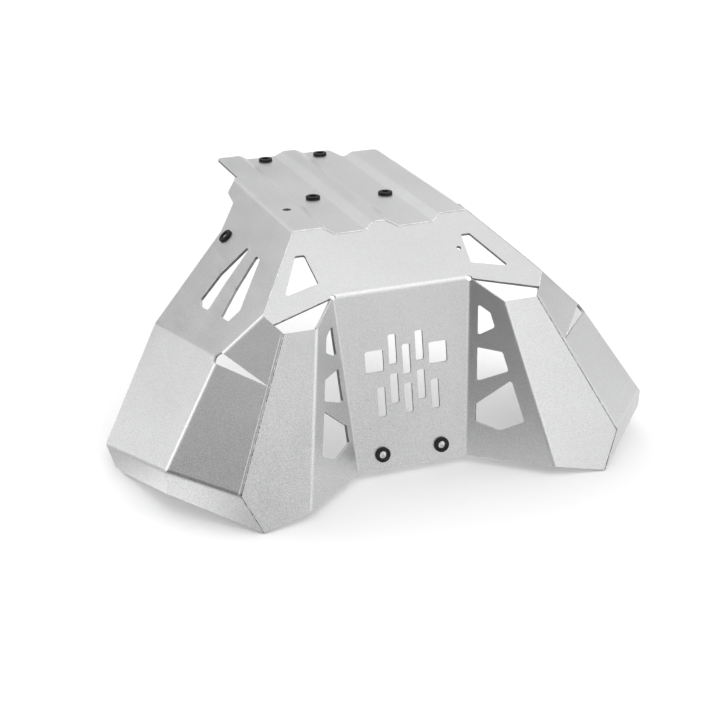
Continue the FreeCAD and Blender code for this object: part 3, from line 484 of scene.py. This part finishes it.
def wall_skin(name):
    """A closed, thin skin over the sheet's cut walls, which carries their stain and painted shade."""
    skin = meshes[name].copy()
    others = [face for face in skin.faces if not is_wall(face, surfaces[name])]
    bmesh.ops.delete(skin, geom=others, context="FACES")
    bmesh.ops.solidify(skin, geom=skin.faces[:], thickness=-SKIN_THICK)
    mesh = bpy.data.meshes.new("walls_" + name)
    skin.to_mesh(mesh)
    return piece("walls_" + name, mesh, cut, smooth=False)


# Bright beads along the top seam: worn metal with a painted highlight.
top_beads = bead_row(
    "seam_top", seam_runs("belly_panel", NOSE), wear_and_highlight,
    radius=0.0008, uneven=0.6, step=0.0009, height=0.8, seed=3,
)
for hand, wing, seed in (("left", WING_LEFT, 11), ("right", WING_RIGHT, 21)):
    # Bright beads along the nose seams: worn metal with a painted highlight.
    nose_beads = bead_row(
        "seam_nose_" + hand, seam_runs("side_" + hand, NOSE), wear_and_highlight,
        radius=0.00045, uneven=0.35, step=0.0012, height=0.6, seed=seed,
    )
    wing_runs = seam_runs("side_" + hand, wing)
    # Painted shade along the open joint between the shield's wing and the side sheet.
    gap = bead_row(
        "seam_wing_" + hand, wing_runs, dark_gap,
        radius=0.0005, uneven=0.35, step=0.0006, height=0.3, seed=seed + 1,
    )
    above_chin = [run for run in wing_runs if (run[0].z + run[1].z) / 2 > CHIN_TOP]
    lip_runs = [(a + away * LIP_ASIDE, b + away * LIP_ASIDE, up) for a, b, up, away in above_chin]
    # A light line beside the wing's seam: worn metal with a painted highlight.
    lip = bead_row(
        "lip_wing_" + hand, lip_runs, wear_and_highlight,
        radius=0.00035, uneven=0.3, step=0.0015, height=0.6, seed=seed + 2,
    )
for name in SHEETS:
    # Rubbed rims along the sheet's outer edges: worn metal with a painted highlight.
    rim = bead_row(
        "rim_" + name, rim_lines(name), wear_and_highlight,
        radius=0.00015, uneven=0.6, step=0.003, height=1.0, seed=31,
    )
    wall_skin(name)


# Ground

GROUND_HALF = 14.0
GROUND_BELOW = 0.0003
CARD_BELOW = 0.00015


def square(name, below, look):
    """A square of ground, a little below the lowest point of the solids."""
    mesh = bpy.data.meshes.new(name)
    corners = [(GROUND_HALF * x, GROUND_HALF * y, 0) for x, y in ((-1, -1), (1, -1), (1, 1), (-1, 1))]
    mesh.from_pydata(corners, [], [(0, 1, 2, 3)])
    mesh.materials.append(look)
    made = new_object(name, mesh)
    made.location = (0, 0, cad_box[0].z - below)
    return made


def direction(azimuth, elevation):
    """Unit vector: azimuth 0 looks along +Y and 90 along +X."""
    a, e = math.radians(azimuth), math.radians(elevation)
    return Vector((math.sin(a) * math.cos(e), math.cos(a) * math.cos(e), math.sin(e)))


# The ground as the metal mirrors it is a grey card just above the paper, met by reflected rays alone.
# Its brightness is even, plus what is added across, along, far off, to one side, beside the left wing
# and under the shell.
CARD_TONE = 0.64
CARD_ACROSS = 0.26
CARD_ALONG = 0.26
CARD_FAR = 0.06
CARD_SIDE = -0.41
CARD_WING = 0.71
CARD_UNDER = 0.60
CARD_DARKEST = 0.04
CARD_SPREAD = 0.4
CARD_SIDE_AZIMUTH = -122
WING_SPOT = (-0.31, -0.17, 0.0)
SHELL_MIDDLE = 0.06


def card_tones(tree):
    """The card's six added tones: where each one lies, from 0 to 1, and its gain."""
    place = tree.coordinates("Object")
    x, y, _ = tree.axes(place)
    distance = tree.vector("LENGTH", place)
    heading = tree.vector("NORMALIZE", place)
    turned = tree.vector("DOT_PRODUCT", heading, direction(CARD_SIDE_AZIMUTH, 0))
    within = tree.span(turned, 0.6, 1.0, smooth=True)
    beyond = tree.span(distance, 0.2, 0.45, smooth=True)
    wing_away = tree.vector("DISTANCE", place, WING_SPOT)
    sideways = tree.math("ABSOLUTE", x)
    lengthways = tree.math("ABSOLUTE", tree.math("SUBTRACT", y, SHELL_MIDDLE))
    below_width = tree.span(sideways, 0.10, 0.22, to_low=1.0, to_high=0.0, smooth=True)
    below_length = tree.span(lengthways, 0.12, 0.24, to_low=1.0, to_high=0.0, smooth=True)
    return (
        (tree.span(x, -CARD_SPREAD, CARD_SPREAD), CARD_ACROSS),
        (tree.span(y, -CARD_SPREAD, CARD_SPREAD), CARD_ALONG),
        (tree.span(distance, 0.3, 1.0, smooth=True), CARD_FAR),
        (tree.math("MULTIPLY", within, beyond), CARD_SIDE),
        (tree.span(wing_away, 0.02, 0.17, to_low=1.0, to_high=0.0, smooth=True), CARD_WING),
        (tree.math("MULTIPLY", below_width, below_length), CARD_UNDER),
    )


def mirrored_ground():
    """Glow of the grey card."""
    made = bpy.data.materials.new("card")
    made.use_nodes = True
    tree = Tree(made.node_tree)
    level = CARD_TONE
    for where, gain in card_tones(tree):
        level = tree.math("ADD", tree.math("MULTIPLY", where, gain), level)
    shine = tree.node("ShaderNodeEmission")
    tree.link(tree.math("MAXIMUM", level, CARD_DARKEST), shine.inputs["Strength"])
    tree.surface(shine)
    return made


ground = square("ground", GROUND_BELOW, white_paper())
card = square("ground_mirrored", CARD_BELOW, mirrored_ground())
card.visible_camera = False
card.visible_diffuse = False
card.visible_transmission = False
card.visible_volume_scatter = False
card.visible_shadow = False


# Studio light

DOME = 1.06
DARKEST = 0.03
# azimuth, elevation, angle at which the glow ends, brightness added in its middle
GLOWS = (
    (0, 90, 70, 0.10),
    (-180, 8, 50, 0.86),
    (-135, 8, 50, -0.58),
    (-90, 8, 50, 0.06),
    (-45, 8, 50, 0.81),
    (0, 8, 50, -1.06),
    (45, 8, 50, 0.42),
    (90, 8, 50, -0.64),
    (135, 8, 50, -1.50),
    (-158, 42, 45, 0.27),
    (-113, 42, 45, -0.63),
    (-68, 42, 45, -0.19),
    (-23, 42, 45, 0.44),
    (22, 42, 45, 0.36),
    (67, 42, 45, -0.71),
    (112, 42, 45, 0.88),
    (-68, 26, 34, 0.14),
    (0, 31, 24, 0.12),
    (-105, 4, 22, -0.51),
    (-155, 6, 22, -1.40),
    (116, 2, 38, 2.27),
    (-24, 12, 20, -0.69),
    (40, 31, 24, 0.17),
    (178, 26, 20, 0.10),
    (-110, 36, 24, 0.31),
)

scene.world = bpy.data.worlds.new("studio")
scene.world.use_nodes = True
tree = Tree(scene.world.node_tree)
seen = tree.coordinates("Generated")
level = DOME
for azimuth, elevation, reach, gain in GLOWS:
    facing = tree.vector("DOT_PRODUCT", seen, direction(azimuth, elevation))
    edge_of_glow = math.cos(math.radians(reach))
    level = tree.math("ADD", tree.span(facing, edge_of_glow, 1.0, to_high=gain, smooth=True), level)
back = tree.node("ShaderNodeBackground")
tree.link(tree.math("MAXIMUM", level, DARKEST), back.inputs["Strength"])
tree.link(grey(1.0), back.inputs["Color"])
tree.surface(back, "ShaderNodeOutputWorld")


# Camera, placed from the middle of the shield's front edge on the floor

CAMERA_AWAY = Vector((-0.5619, -1.360971, 0.75149))
CAMERA_TURN = (67.892, 1.184, -19.906)

low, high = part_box("front_shield")
front_foot = Vector(((low.x + high.x) / 2, low.y, cad_box[0].z))
camera = new_object("camera", bpy.data.cameras.new("camera"))
camera.data.sensor_width = 36.0
camera.data.lens = 82.16
camera.data.clip_start = 0.05
camera.data.clip_end = 60.0
camera.data.dof.use_dof = False
camera.location = front_foot + CAMERA_AWAY
camera.rotation_euler = tuple(math.radians(angle) for angle in CAMERA_TURN)
scene.camera = camera

scene.view_settings.view_transform = "Standard"
scene.view_settings.look = "None"
scene.view_settings.exposure = 0.0
scene.view_settings.gamma = 1.0
